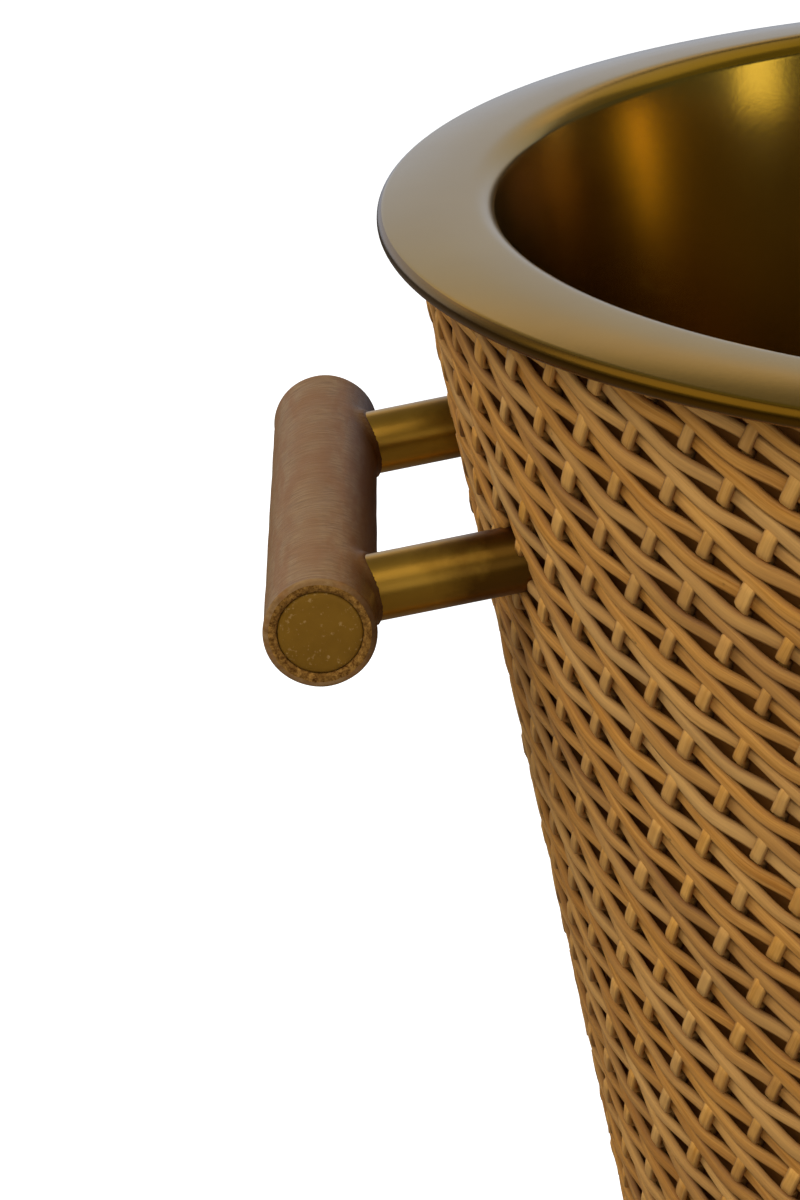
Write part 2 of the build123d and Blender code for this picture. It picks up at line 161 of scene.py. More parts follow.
# ------------------------------------------------------------------ material helpers
class Nodes:
    """A small writer of node materials."""

    def __init__(self, name):
        self.material = bpy.data.materials.new(name)
        self.material.use_nodes = True
        self.tree = self.material.node_tree
        self.shader = self.tree.nodes["Principled BSDF"]

    def add(self, kind, **settings):
        node = self.tree.nodes.new(kind)
        for key, value in settings.items():
            setattr(node, key, value)
        return node

    def link(self, source, target):
        self.tree.links.new(source, target)

    def set(self, **values):
        for key, value in values.items():
            self.shader.inputs[key.replace("_", " ")].default_value = value

    def noise(self, vector, scale, detail=3.0, roughness=0.55):
        node = self.add("ShaderNodeTexNoise")
        node.inputs["Scale"].default_value = scale
        node.inputs["Detail"].default_value = detail
        node.inputs["Roughness"].default_value = roughness
        self.link(vector, node.inputs["Vector"])
        return node.outputs["Fac"]

    def object_coords(self, scale=(1, 1, 1)):
        return self.scaled(self.add("ShaderNodeTexCoord").outputs["Object"], scale)

    def attribute(self, name, scale=(1, 1, 1)):
        node = self.add("ShaderNodeAttribute")
        node.attribute_name = name
        return self.scaled(node.outputs["Vector"], scale)

    def scaled(self, vector, scale):
        node = self.add("ShaderNodeMapping")
        node.inputs["Scale"].default_value = scale
        self.link(vector, node.inputs["Vector"])
        return node.outputs["Vector"]

    def ramp(self, fac, stops):
        """stops are (position, colour); a colour is three numbers, or one for grey."""
        node = self.add("ShaderNodeValToRGB")
        elements = node.color_ramp.elements
        while len(elements) < len(stops):
            elements.new(0.5)
        for element, (place, colour) in zip(elements, stops):
            element.position = place
            colour = (colour,) * 3 if isinstance(colour, (int, float)) else colour
            element.color = (*colour, 1)
        self.link(fac, node.inputs["Fac"])
        return node.outputs["Color"]

    def mix(self, fac, a, b):
        node = self.add("ShaderNodeMix", data_type="RGBA")
        for value, socket in ((fac, node.inputs[0]), (a, node.inputs[6]), (b, node.inputs[7])):
            if isinstance(value, (int, float)):
                socket.default_value = value
            elif isinstance(value, tuple):
                socket.default_value = (*value, 1)
            else:
                self.link(value, socket)
        return node.outputs[2]

    def math(self, operation, a, b=None):
        node = self.add("ShaderNodeMath", operation=operation)
        for value, socket in ((a, node.inputs[0]), (b, node.inputs[1])):
            if value is None:
                continue
            if isinstance(value, (int, float)):
                socket.default_value = value
            else:
                self.link(value, socket)
        return node.outputs[0]

    def colour(self, value):
        self.link(value, self.shader.inputs["Base Color"])

    def roughness(self, fac, low, high):
        node = self.add("ShaderNodeMapRange")
        node.inputs["To Min"].default_value = low
        node.inputs["To Max"].default_value = high
        self.link(fac, node.inputs["Value"])
        self.link(node.outputs[0], self.shader.inputs["Roughness"])

    def bump(self, height, distance, strength=1.0):
        node = self.add("ShaderNodeBump")
        node.inputs["Strength"].default_value = strength
        node.inputs["Distance"].default_value = distance
        self.link(height, node.inputs["Height"])
        self.link(node.outputs["Normal"], self.shader.inputs["Normal"])


# ------------------------------------------------------------------ materials
# noise scales are per metre, and bump distances in metres
CLOUDS, GRIT = 28, 900
GRIT_DEPTH = 0.00002
COAT = {"Coat_Roughness": 0.22, "Coat_IOR": 1.35}
POST_SHADE_FROM = 0.1248                  # distance from the axis where the painted shade on the posts begins
POST_SHADE_GROWTH = 52                    # how fast it thickens towards the wall, per metre
SHADE_GROWTH = -1 / 9               # over the bar's radius in mm, positive on the wall side
LEATHER_TINT = (1.0, 0.72, 0.42, 1)
EDGE_TINT = (1.0, 0.7, 0.3, 1)


def brass(name, colour, dark, low=0.19, high=0.27, coat=0.3):
    """Satin brass with soft clouds of a darker brass, and a roughness from low to high."""
    n = Nodes(name)
    at = n.object_coords()
    cloud = n.noise(at, CLOUDS, 4)
    n.colour(n.mix(n.ramp(cloud, [(0.3, 0.0), (0.75, 1.0)]), colour, dark))
    n.roughness(n.noise(at, 60, 3), low, high)
    n.bump(n.noise(at, GRIT, 3, 0.7), GRIT_DEPTH, 0.5)
    n.set(Metallic=1.0, Coat_Weight=coat, **COAT)
    return n.material


def wall_shaded_brass(name, colour, dark, post_shade):
    """Brass with painted shade, broken up in clouds, that thickens towards the wall it is fixed to."""
    n = Nodes(name)
    at = n.object_coords()
    place = n.add("ShaderNodeSeparateXYZ")
    n.link(at, place.inputs[0])
    cloud = n.noise(at, 110, 4, 0.6)
    # painted shade: darker towards the wall, where the rim shades the posts
    inward = n.math("SUBTRACT", POST_SHADE_FROM, n.math("ABSOLUTE", place.outputs[0]))
    near = n.math("MULTIPLY", inward, POST_SHADE_GROWTH)
    shade_amount = n.ramp(n.math("ADD", near, n.math("MULTIPLY", cloud, 0.9)), [(0.50, 0.0), (1.05, 0.85)])
    base = n.mix(n.ramp(n.noise(at, CLOUDS, 4), [(0.3, 0.0), (0.75, 1.0)]), colour, dark)
    n.colour(n.mix(shade_amount, base, post_shade))
    n.roughness(cloud, 0.28, 0.38)
    n.bump(n.noise(at, GRIT, 3, 0.7), GRIT_DEPTH, 0.5)
    n.set(Metallic=1.0, Coat_Weight=0.2, **COAT)
    return n.material


def rattan(name, light, dark):
    """Split cane: streaks along each strand, its own tint, dark flecks, and painted shade on its sides and where
    it lies deep in the mat.
    """
    n = Nodes(name)
    streak = n.noise(n.attribute("grain", (0.05, 2.2, 1)), 1.0, 4, 0.65)
    cloud = n.noise(n.attribute("grain", (0.06, 0.3, 1)), 1.0, 3)
    fleck = n.noise(n.attribute("grain", (0.35, 1.1, 1)), 1.0, 2, 0.5)
    tint = n.add("ShaderNodeSeparateXYZ")
    n.link(n.attribute("tint"), tint.inputs[0])
    base = n.mix(n.ramp(streak, [(0.3, 0.0), (0.72, 1.0)]), dark, light)
    base = n.mix(n.ramp(cloud, [(0.35, 0.0), (0.8, 0.55)]), base, (0.46, 0.20, 0.055))
    base = n.mix(tint.outputs[0], base, (0.90, 0.58, 0.22))
    # darker strands, and painted shade on each strand's sides
    base = n.mix(tint.outputs[1], base, (0.20, 0.085, 0.03))
    base = n.mix(n.ramp(fleck, [(0.74, 0.0), (0.80, 0.6)]), base, (0.10, 0.04, 0.012))
    # painted shade where a strand lies deep in the mat
    base = n.mix(tint.outputs[2], base, (0.012, 0.005, 0.002))
    n.colour(base)
    n.roughness(streak, 0.42, 0.66)
    n.bump(streak, 0.00012, 0.6)
    n.set(Specular_IOR_Level=0.3, Specular_Tint=(1.0, 0.75, 0.42, 1))
    return n.material


def leather(name):
    """Smooth brown leather with a fine grain that runs round the bar, and painted shade on its side towards the
    wall.
    """
    n = Nodes(name)
    at = n.attribute("grain")
    fibre = n.noise(n.scaled(at, (0.12, 1.9, 1)), 1.0, 5, 0.7)
    cloud = n.noise(n.scaled(at, (0.05, 0.09, 1)), 1.0, 3)
    pore = n.noise(n.scaled(at, (1.4, 3.0, 1)), 1.0, 2)
    dark, light = (0.185, 0.086, 0.024), (0.375, 0.225, 0.094)
    base = n.mix(n.ramp(fibre, [(0.3, 0.0), (0.7, 1.0)]), dark, light)
    base = n.mix(n.ramp(cloud, [(0.38, 0.0), (0.62, 0.65)]), base, (0.25, 0.105, 0.030))
    # painted shade on the side towards the wall, where the rim and the bucket shade the bar
    place = n.add("ShaderNodeSeparateXYZ")
    n.link(at, place.inputs[0])
    wall_shade = n.math("MULTIPLY", place.outputs[0], SHADE_GROWTH)
    base = n.mix(n.ramp(wall_shade, [(0.55, 0.0), (0.98, 0.8)]), base, (0.035, 0.010, 0.001))
    n.colour(base)
    n.roughness(cloud, 0.50, 0.62)
    height = n.math("ADD", fibre, n.math("MULTIPLY", pore, 0.4))
    n.bump(height, 0.00009, 0.8)
    n.set(Specular_IOR_Level=0.25, Specular_Tint=LEATHER_TINT)
    return n.material


def cut_leather(name):
    """The raw cut edge: short tangled fibres, light on dark."""
    n = Nodes(name)
    at = n.object_coords()
    fibre = n.noise(at, 1500, 4, 0.75)
    lump = n.noise(at, 520, 3)
    dark, light = (0.080, 0.025, 0.003), (0.46, 0.23, 0.05)
    base = n.mix(n.ramp(fibre, [(0.36, 0.0), (0.66, 1.0)]), dark, light)
    base = n.mix(n.ramp(lump, [(0.42, 0.0), (0.7, 0.6)]), base, (0.16, 0.07, 0.012))
    n.colour(base)
    n.set(Roughness=0.75, Specular_IOR_Level=0.2, Specular_Tint=EDGE_TINT)
    n.bump(fibre, 0.00025, 0.9)
    return n.material


def disc_leather(name):
    """The end disc's leather: yellow brown, with pale specks."""
    n = Nodes(name)
    at = n.object_coords()
    speck = n.noise(at, 1300, 2, 0.6)
    cloud = n.noise(at, 130, 3)
    dark, light = (0.180, 0.084, 0.008), (0.245, 0.120, 0.013)
    base = n.mix(n.ramp(cloud, [(0.3, 0.0), (0.75, 1.0)]), dark, light)
    base = n.mix(n.ramp(speck, [(0.61, 0.0), (0.72, 0.6)]), base, (0.46, 0.28, 0.10))
    n.colour(base)
    n.roughness(cloud, 0.45, 0.6)
    n.set(Specular_IOR_Level=0.2, Specular_Tint=EDGE_TINT)
    n.bump(speck, 0.00006, 0.6)
    return n.material


def felt(name, colour):
    n = Nodes(name)
    at = n.object_coords()
    hair = n.noise(at, 2200, 4, 0.8)
    n.colour(n.mix(hair, tuple(c * 0.6 for c in colour), tuple(c * 1.5 for c in colour)))
    n.set(Roughness=0.95, Sheen_Weight=0.4)
    n.bump(hair, 0.0003, 0.8)
    return n.material


def backing(name):
    """The dull brown sheet behind the cane."""
    n = Nodes(name)
    cloud = n.noise(n.object_coords(), 160, 4)
    n.colour(n.mix(cloud, (0.22, 0.080, 0.012), (0.34, 0.13, 0.020)))
    n.set(Roughness=0.8, Specular_IOR_Level=0.2)
    n.bump(cloud, 0.0002, 0.5)
    return n.material


def steel(name):
    n = Nodes(name)
    at = n.object_coords((1, 1, 6))
    line = n.noise(at, 400, 3)
    n.colour(n.mix(line, (0.40, 0.39, 0.37), (0.58, 0.57, 0.55)))
    n.roughness(line, 0.28, 0.42)
    n.set(Metallic=1.0)
    return n.material


def iron(name):
    n = Nodes(name)
    grain = n.noise(n.object_coords(), 700, 4)
    n.colour(n.mix(grain, (0.012, 0.012, 0.012), (0.035, 0.033, 0.031)))
    n.roughness(grain, 0.5, 0.8)
    n.bump(grain, 0.0003, 0.6)
    return n.material


BRASS = brass("satin_brass", (0.42, 0.222, 0.005), (0.38, 0.20, 0.003), coat=0.35)
# darker copies of the same brass, painted shade: under the turned-down lip, and inside the vessel
SHADED_LIP_BRASS = brass("shaded_lip_brass", (0.27, 0.125, 0.003), (0.20, 0.085, 0.002), 0.22, 0.30, 0.2)
SHADED_INSIDE_BRASS = brass("shaded_inner_brass", (0.33, 0.200, 0.020), (0.27, 0.160, 0.010), 0.14, 0.20, 0.3)
BRASS_POST = wall_shaded_brass("post_brass", (0.69, 0.365, 0.048), (0.46, 0.220, 0.014), (0.120, 0.044, 0.002))
SHEET = backing("brown_backing")
WEFT = rattan("cane_weft", (0.86, 0.430, 0.092), (0.48, 0.175, 0.016))
WARP = rattan("cane_warp", (0.90, 0.475, 0.112), (0.60, 0.25, 0.030))
LEATHER = leather("grip_leather")
CUT = cut_leather("cut_leather")
DISC = disc_leather("disc_leather")
FELT = felt("brown_felt", (0.06, 0.04, 0.025))
STEEL = steel("plated_steel")
IRON = iron("cast_iron")


# ------------------------------------------------------------------ vessel
def make_vessel():
    """The spun vessel: floor, tapered wall, crowned rim, and the lip turned down and under."""
    mouth, crown_start, crown_r, tilt = 0.1112, 0.0043, 0.044, math.radians(14)
    lip_depth, hem_r = 0.0054, 0.1266
    floor_fillet, mouth_edge_r, lip_r, lip_under_r = 0.009, 0.0042, 0.0018, 0.00155
    centre_hole, longest_row = 0.0005, 0.012
    floor = VESSEL_LOW.z + SHEET_T
    knee = mouth + crown_start + crown_r * math.tan(tilt / 2)
    corners = [
        (centre_hole, floor),
        (mouth - TAN_A * (RIM_Z - floor), floor),
        (mouth, RIM_Z),
        (knee, RIM_Z),
        (RIM_R, RIM_Z - (RIM_R - knee) * math.tan(tilt)),
        (RIM_R, RIM_Z - lip_depth),
        (hem_r, RIM_Z - lip_depth),
    ]
    line = rounded(corners, [floor_fillet, mouth_edge_r, crown_r, lip_r, lip_under_r])
    wall = []
    for a, b in zip(line, line[1:]):
        parts = max(1, int(np.linalg.norm(b - a) / longest_row))
        wall += [a + (b - a) * k / parts for k in range(parts)]
    wall.append(line[-1])
    outline = thicken(np.array(wall), SHEET_T)
    segments = 256
    ob = lathe("vessel_spun", outline, segments, [BRASS, SHADED_INSIDE_BRASS, SHADED_LIP_BRASS])
    # rows up to the mouth take the inside's darker brass and those at the outermost edge the lip's, both painted
    # shade
    slot = np.zeros(len(outline), np.int32)
    slot[: int(np.argmax(np.array(wall)[:, 0] > mouth - 0.0004))] = 1
    slot[int(np.argmax(outline[:, 0] > RIM_R - 0.0008)) : len(wall) + 1] = 2
    ob.data.polygons.foreach_set("material_index", np.repeat(slot, segments))
    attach(ob, "bucket")
    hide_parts("vessel")


# ------------------------------------------------------------------ woven cane
# The mat is flat and wrapped once round the cone, so it is laid out on the unrolled wall:
# x runs to the right and y down from the rim, seen from outside, about the azimuth MAT_FACES.
MAT_FACES = math.radians(212.9)
MAT_SEAM = math.radians(180)
WEFT_RUN = math.radians(29.8)       # weft falls to the right by this
WARP_LEAN = math.radians(31.3)      # warp leans right of upright by this
WARP_PITCH = 9.2 * MM               # from warp to warp, along the weft
WEFT_PITCH = 3.8 * MM               # from weft to weft, along the warp
TAB_PLACE = np.array([-1.26, 62.9]) * MM    # the crossing that strands 0 and 0 make
MAT_BASE = -1.85 * MM               # mid height of the mat under the cane's outside
MAT_REACH = 0.9                     # strands are laid this far either way, then cut to the mat
SHORTEST = 3 * MM                   # shorter offcuts are left out
CANE_PIECES = 3
TRACE = 0.25 * MM                   # step of the search for where a strand is cut
WEFT_W, WEFT_T = 2.8 * MM, 1.2 * MM
WARP_W, WARP_T = 2.4 * MM, 1.05 * MM
WEFT_HIGH, WEFT_DIP = 0.85 * MM, -0.35 * MM
WARP_TAB, WARP_LOW = 1.05 * MM, -1.20 * MM
HOLD_EVERY = 3                      # a warp passes over one weft in three
SIDES = 8                           # of a strand's section
WIDTH_SPREAD = 0.07                 # share of a strand's width
SIDE_DRIFT, LIFT_DRIFT = 0.13 * MM, 0.10 * MM
TWIST = 0.16                        # radians

weft_way = np.array([math.cos(WEFT_RUN), math.sin(WEFT_RUN)])
warp_way = np.array([-math.sin(WARP_LEAN), math.cos(WARP_LEAN)])
rim_slant = CANE_R / SIN_A


def unrolled(flat):
    """(slant distance from the apex, azimuth) of points of the unrolled wall."""
    x, y = flat[..., 0], rim_slant - flat[..., 1]
    return np.hypot(x, y), MAT_FACES + np.arctan2(x, y) / SIN_A


def on_wall(flat, lift):
    slant, azimuth = unrolled(flat)
    radius = slant * SIN_A + lift * COS_A
    height = APEX_Z + slant * COS_A - lift * SIN_A
    return np.stack([radius * np.cos(azimuth), radius * np.sin(azimuth), height], -1)


def handle_frame(side):
    """Origin on the wall, the way out along the posts, and the way along the bar."""
    origin = np.array([side * (CANE_R - TAN_A * POST_DROP), 0, RIM_Z - POST_DROP])
    out = np.array([side * COS_A, 0, -SIN_A])
    return origin, out, np.array([0.0, 1.0, 0.0])


def inside_mat(flat):
    """True where the unrolled wall has cane: between its edges and clear of the posts."""
    slant, azimuth = unrolled(flat)
    height = APEX_Z + slant * COS_A
    far_side = 40 * MM  # a post is shorter than this, so strands beyond it are on the other wall
    keep = (height < CANE_HIGH.z - 1.0 * MM) & (height > CANE_LOW.z + 0.3 * MM)
    keep &= (azimuth > MAT_SEAM) & (azimuth < MAT_SEAM + 2 * np.pi)
    points = on_wall(flat, np.full(flat.shape[:-1], MAT_BASE))
    for side in (-1, 1):
        origin, out, along = handle_frame(side)
        for half in (-POST_HALF, POST_HALF):
            away = points - (origin + along * half)
            depth = away @ out
            off = np.linalg.norm(away - depth[..., None] * out, axis=-1)
            keep &= (off > POST_R - 0.2 * MM) | (np.abs(depth) > far_side)
    return keep


def weft_height(phase):
    """A weft lies high, and dips steeply under the warp that holds it, at each whole phase."""
    return WEFT_HIGH - (WEFT_HIGH - WEFT_DIP) * np.abs(np.cos(np.pi * phase)) ** 4.2


def weft_sway(phase):
    """A weft's way off its line in the plane of the mat.

    It drops steeply just before the warp that holds it, and is pushed down where it dips.
    """
    turn = 2 * np.pi * phase
    side = (0.03 + 0.86 * np.cos(turn + 2.77) + 0.17 * np.cos(2 * turn - 2.02)) * MM
    return side + WEFT_HIGH - weft_height(phase)


def warp_height(phase):
    """A warp lies low, and rises to a short tab over a weft, at each whole phase."""
    phase = phase - 0.03
    away = np.abs(phase - np.round(phase))
    rise = np.clip((0.31 - away) / 0.10, 0, 1)
    return WARP_LOW + (WARP_TAB - WARP_LOW) * rise * rise * (3 - 2 * rise)


def section(width, thick, power):
    """A strand's section: flat with rounded edges, squarer as the power falls."""
    turn = (np.arange(SIDES) + 0.5) / SIDES * 2 * np.pi
    c, s = np.cos(turn), np.sin(turn)
    return (np.sign(c) * np.abs(c) ** power * width / 2, np.sign(s) * np.abs(s) ** power * thick / 2)


def runs(keep):
    """(first, last) of each stretch of True."""
    edge = np.flatnonzero(np.diff(np.concatenate([[0], keep.astype(np.int8), [0]])))
    return zip(edge[::2], edge[1::2] - 1)


class Strands:
    """Collects strands into one mesh with their grain, and their tint and painted shade."""

    def __init__(self):
        self.points, self.quads, self.grain, self.tint, self.count = [], [], [], [], 0

    def add(self, flat, height, width, thick, power, seed):
        """Sweep a section along a line, with a little of everything that split cane does.

        flat is the middle line on the unrolled wall, and height its lift over the mat's middle.
        """
        rng = np.random.default_rng(seed)
        step = np.linalg.norm(np.diff(flat, axis=0), axis=1)
        run = np.concatenate([[0], np.cumsum(step)])
        t = run / MM
        way = np.gradient(flat, axis=0)
        way /= np.linalg.norm(way, axis=1)[:, None]
        side = np.stack([-way[:, 1], way[:, 0]], -1)
        slope = np.arctan(np.gradient(height, run))
        broad = 1 + WIDTH_SPREAD * rng.normal() + WIDTH_SPREAD * wobble(t / 9, seed + 1)
        flat = flat + side * (SIDE_DRIFT * wobble(t / 14, seed + 2))[:, None]
        height = height + LIFT_DRIFT * wobble(t / 11, seed + 3)
        twist = TWIST * wobble(t / 16, seed + 4)
        a, b = section(width, thick, power)
        a, b = a[None, :] * broad[:, None], b[None, :] * (0.5 + 0.5 * broad[:, None])
        a, b = (a * np.cos(twist)[:, None] - b * np.sin(twist)[:, None],
                a * np.sin(twist)[:, None] + b * np.cos(twist)[:, None])
        ring = flat[:, None, :] + side[:, None, :] * a[..., None]
        ring -= way[:, None, :] * (b * np.sin(slope)[:, None])[..., None]
        lift = MAT_BASE + height[:, None] + b * np.cos(slope)[:, None]
        points = on_wall(ring, lift)
        n = len(flat)
        quads = grid_quads(n, SIDES, True)
        cap = np.array([[3, 2, 1, 0], [7, 4, 3, 0], [7, 6, 5, 4]])
        quads = np.vstack([quads, cap, (n - 1) * SIDES + cap[:, ::-1]])
        self.quads.append(quads + self.count)
        self.points.append(points.reshape(-1, 3))
        around = np.arange(SIDES) / SIDES * 2 * np.pi
        grain = np.stack([np.repeat(t[:, None] + 400 * rng.random(), SIDES, 1),
                          1.2 * np.cos(around)[None, :] + 0 * t[:, None],
                          1.2 * np.sin(around)[None, :] + 0 * t[:, None] + 31 * rng.random()], -1)
        self.grain.append(grain.reshape(-1, 3))
        # the three channels: paler strands, darker strands with painted shade on their sides, and painted shade
        # deeper in the mat
        pale = max(0, rng.normal(0.12, 0.16)) + 0.10 * np.maximum(0, wobble(t / 23, seed + 5))
        deep = max(0, rng.normal(0.0, 0.16)) + 0.16 * np.maximum(0, wobble(t / 31, seed + 6))
        low = np.clip((0.1 * MM - lift + MAT_BASE) / (1.9 * MM), 0, 0.8)
        edge = np.where(np.abs(np.cos(around + np.pi / SIDES)) > 0.8, 0.5, 0.0)
        tint = np.stack([np.repeat(pale[:, None], SIDES, 1), deep[:, None] + edge[None, :], low], -1)
        self.tint.append(tint.reshape(-1, 3))
        self.count += n * SIDES

    def build(self, name, material):
        mesh = quad_mesh(name, np.vstack(self.points), np.vstack(self.quads))
        point_vectors(mesh, "grain", np.vstack(self.grain))
        point_vectors(mesh, "tint", np.clip(np.vstack(self.tint), 0, 1))
        ob = new_object(name, mesh, [material])
        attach(ob, "bucket")
        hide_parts("rattan_wrap")


def weave(name, line, numbers, fine, strand):
    """Lay numbered strands, cut to the mat, and share them out between a few pieces."""
    made = [Strands() for _ in range(CANE_PIECES)]
    for laid, number in enumerate(numbers):
        along = np.arange(-MAT_REACH, MAT_REACH, TRACE)
        flat, _ = line(number, along)
        for k, (first, last) in enumerate(runs(inside_mat(flat))):
            if along[last] - along[first] < SHORTEST:
                continue
            count = max(3, int((along[last] - along[first]) / fine))
            flat_run, height = line(number, np.linspace(along[first], along[last], count))
            seed = 1000 * abs(number) + 10 * k + strand["seed"]
            piece = made[laid // strand["share"] % CANE_PIECES]
            piece.add(flat_run, height, strand["w"], strand["t"], strand["power"], seed)
    for k, piece in enumerate(made):
        if piece.count:
            piece.build(f"{name}_{k + 1}", strand["material"])


def weft_line(j, along):
    phase = (along / WARP_PITCH - j) / HOLD_EVERY
    flat = TAB_PLACE + j * WEFT_PITCH * warp_way + along[:, None] * weft_way
    flat = flat + warp_way * weft_sway(phase)[:, None]
    return flat, weft_height(phase)


def warp_line(i, along):
    phase = (i - along / WEFT_PITCH) / HOLD_EVERY
    flat = TAB_PLACE + i * WARP_PITCH * weft_way + along[:, None] * warp_way
    return flat, warp_height(phase)


def make_cane():
    coarse = 1.0
    weft = {"w": WEFT_W, "t": WEFT_T, "power": 0.58, "seed": 3, "material": WEFT, "share": 36}
    warp = {"w": WARP_W, "t": WARP_T, "power": 0.55, "seed": 5, "material": WARP, "share": 33}
    weave("cane_weft", weft_line, range(-170, 170), 1.9 * MM * coarse, weft)
    weave("cane_warp", warp_line, range(-100, 100), 0.95 * MM, warp)


# ------------------------------------------------------------------ handles
def fine_steps(low, high, coarse, fine, places, reach):
    """Positions from low to high, closer together near the given places."""
    out = [low]
    while out[-1] < high:
        near = min(abs(out[-1] - place) for place in places)
        out.append(out[-1] + (fine if near < reach else coarse))
    out = np.array(out)
    return low + (out - low) * (high - low) / (out[-1] - low)


def make_grip(side, word):
    """Leather drawn over the bar: a tight sleeve, raised where the posts enter, with raw cut ends."""
    origin, out, along = handle_frame(side)
    centre = origin + out * BAR_OUT
    across = np.cross(along, out)
    turns = 168
    turn = np.arange(turns) / turns * 2 * np.pi
    ends = BAR_HALF - 0.2 * MM
    places = (-BAR_HALF, -POST_HALF, POST_HALF, BAR_HALF)
    y = fine_steps(-ends, ends, 1.3 * MM, 0.4 * MM, places, 8.5 * MM)
    yy, tt = np.meshgrid(y, turn, indexing="ij")
    radius = np.full_like(yy, GRIP_R)
    radius += 0.05 * MM * wobble(yy / (9 * MM) + 2 * np.cos(tt), 11 + side)
    flare = 4 * MM
    radius += 0.10 * MM * np.clip((np.abs(yy) - (BAR_HALF - flare)) / flare, 0, 1) ** 2
    # a fillet of leather climbs each post on the wall side, where the turn is half a circle
    fillet = 2.6 * MM
    for place in (-POST_HALF, POST_HALF):
        off = np.hypot(yy - place, GRIP_R * np.sin(tt)) - POST_R
        near = np.clip(1 - off / fillet, 0, 1)
        climb = fillet * (1 - np.sqrt(np.clip(1 - near**2, 0, 1)))
        radius += np.where(np.cos(tt) < 0, climb, 0) * 0.38
    rows = [np.stack([yy, radius, tt], -1)]
    # each end: a rounded shoulder, the rough cut ring and a short way in beside the disc
    face = [(0.12, -0.05), (0.26, -0.18), (0.37, -0.40), (0.44, -0.66), (0.48, -0.92), (0.50, -1.22),
            (0.48, -1.6), (0.36, -1.95), (0.12, -2.2), (-0.5, -2.24)]
    cut_from = 4  # the loop where the smooth shoulder ends and the cut ring begins
    for end in (-1, 1):
        rim = radius[0] if end < 0 else radius[-1]
        loops = []
        for k, (proud, inward) in enumerate(face):
            rough = 0.13 * MM * min(1.0, max(0, k - cut_from + 2) / 3) if k < len(face) - 1 else 0.0
            seed = 90 + 10 * k + (end > 0)
            jag = rough * (wobble(turn * 31, seed, (1.0, 2.7, 4.9))
                           + 0.8 * wobble(turn * 83, seed + 3, (1.0, 1.9)))
            yk = end * (ends + proud * MM + jag)
            rk = rim + inward * MM + 0.6 * jag
            loops.append(np.stack([yk, rk, turn], -1))
        loops = np.array(loops)
        rows = [loops[::-1]] + rows if end < 0 else rows + [loops]
    table = np.concatenate(rows)
    yy, rr, tt = table[..., 0], table[..., 1], table[..., 2]
    points = (centre + along * yy[..., None] + out * (rr * np.cos(tt))[..., None]
              + across * (rr * np.sin(tt))[..., None])
    count = len(table)
    quads = grid_quads(count, turns, True)
    mesh = quad_mesh(f"grip_leather_{word}", points.reshape(-1, 3), quads)
    grain = np.stack([GRIP_R / MM * np.cos(tt), yy / MM, GRIP_R / MM * np.sin(tt) + 50 * side], -1)
    point_vectors(mesh, "grain", grain.reshape(-1, 3))
    ob = new_object(f"grip_leather_{word}", mesh, [LEATHER, CUT])
    cap = len(face)
    row = np.repeat(np.arange(count - 1), turns)
    raw = (row < cap - 1 - cut_from) | (row >= count - cap + cut_from)
    mesh.polygons.foreach_set("material_index", raw.astype(np.int32))
    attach(ob, "bucket")
    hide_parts(f"handle_leather_{word}")


def make_end_discs(side, word):
    """The inlaid discs: flat leather with a softened edge, just inside the raw edge."""
    origin, out, along = handle_frame(side)
    centre = origin + out * BAR_OUT
    across = np.cross(along, out)
    radii = np.array([0.05, 1.5, 3.0, 4.5, 5.7, 6.35, 6.62, 6.73, 6.75, 6.5, 0.05]) * MM
    proud = np.array([0.2, 0.2, 0.2, 0.19, 0.17, 0.12, 0.0, -0.25, -1.3, -1.45, -1.45]) * MM
    sunk, turns = 0.12 * MM, 72
    turn = np.arange(turns) / turns * 2 * np.pi
    points, quads = [], []
    for end in (-1, 1):
        ripple = 0.04 * MM * wobble(turn * 9, 40 + end + side)
        y = end * (BAR_HALF - sunk + proud[:, None] + 0 * turn)
        r = radii[:, None] + ripple * (radii[:, None] > 5 * MM)
        at = (centre + along * y[..., None] + out * (r * np.cos(turn))[..., None]
              + across * (r * np.sin(turn))[..., None])
        quads.append(grid_quads(len(radii), turns, True) + len(points) * len(radii) * turns)
        points.append(at.reshape(-1, 3))
    mesh = quad_mesh(f"end_discs_{word}", np.vstack(points), np.vstack(quads))
    ob = new_object(f"end_discs_{word}", mesh, [DISC])
    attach(ob, "bucket")
    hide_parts(f"handle_discs_{word}")


